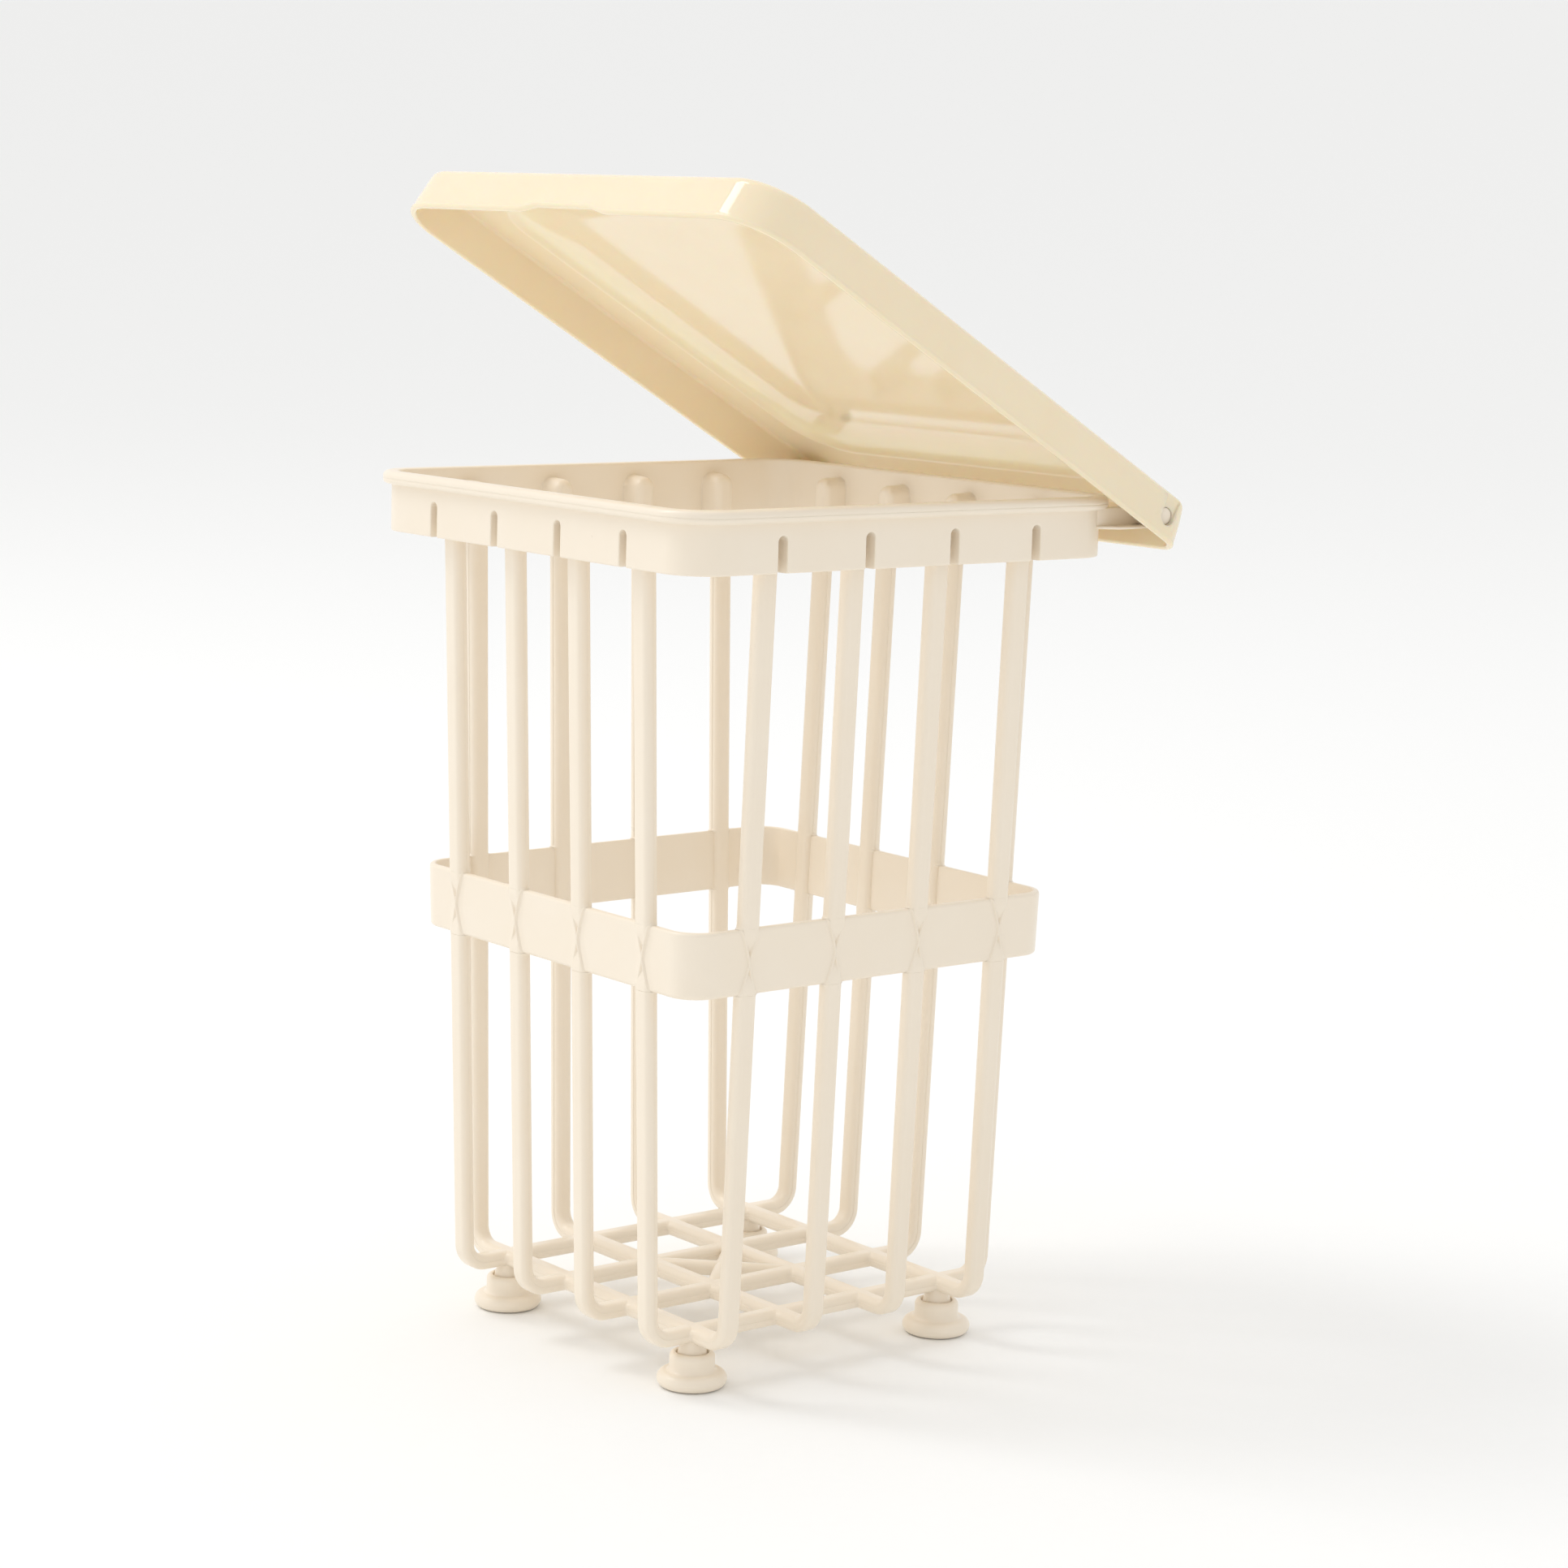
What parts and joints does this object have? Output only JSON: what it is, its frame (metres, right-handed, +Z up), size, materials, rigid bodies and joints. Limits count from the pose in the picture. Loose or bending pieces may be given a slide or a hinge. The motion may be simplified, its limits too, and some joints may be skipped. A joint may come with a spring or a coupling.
{
  "type": "lidded basket",
  "caption": "Tapered square open-bar basket with a solid rolled collar, a belt round its middle, button feet and an overhanging hinged lid.",
  "frame": {"origin": "on the floor plane under the feet, at the middle of the box round the whole object with its lid part open, 7.39 mm behind the middle of the basket's square plan", "axes": "+Z up; -Y is the front, where the lid lifts; +Y is the back, where the lid's pin line runs along X"},
  "size_m": [0.1362, 0.1392, 0.2655],
  "materials": {
    "basket": "cream injection-moulded polypropylene, satin",
    "feet": "cream injection-moulded plastic, satin",
    "lid": "cream injection-moulded polypropylene, polished gloss"
  },
  "bodies": {
    "basket": {"collar": "basket", "belt": "basket", "base_grid": "basket", "front_bar_1": "basket", "front_bar_2": "basket", "front_bar_3": "basket", "front_bar_4": "basket", "right_bar_1": "basket", "right_bar_2": "basket", "right_bar_3": "basket", "right_bar_4": "basket", "back_bar_1": "basket", "back_bar_2": "basket", "back_bar_3": "basket", "back_bar_4": "basket", "left_bar_1": "basket", "left_bar_2": "basket", "left_bar_3": "basket", "left_bar_4": "basket", "front_left_post": "basket", "front_right_post": "basket", "back_right_post": "basket", "back_left_post": "basket", "front_left_foot": "feet", "front_right_foot": "feet", "back_right_foot": "feet", "back_left_foot": "feet", "right_hinge_arm": "basket", "left_hinge_arm": "basket"},
    "lid": {"lid": "lid"}
  },
  "joints": [
    {"name": "lid_hinge", "type": "hinge", "parent": "basket", "child": "lid", "pos_m": [0, 0.06181, 0.193], "axis": [-1, 0, 0], "range_deg": [-29.9, 65.1]}
  ]
}
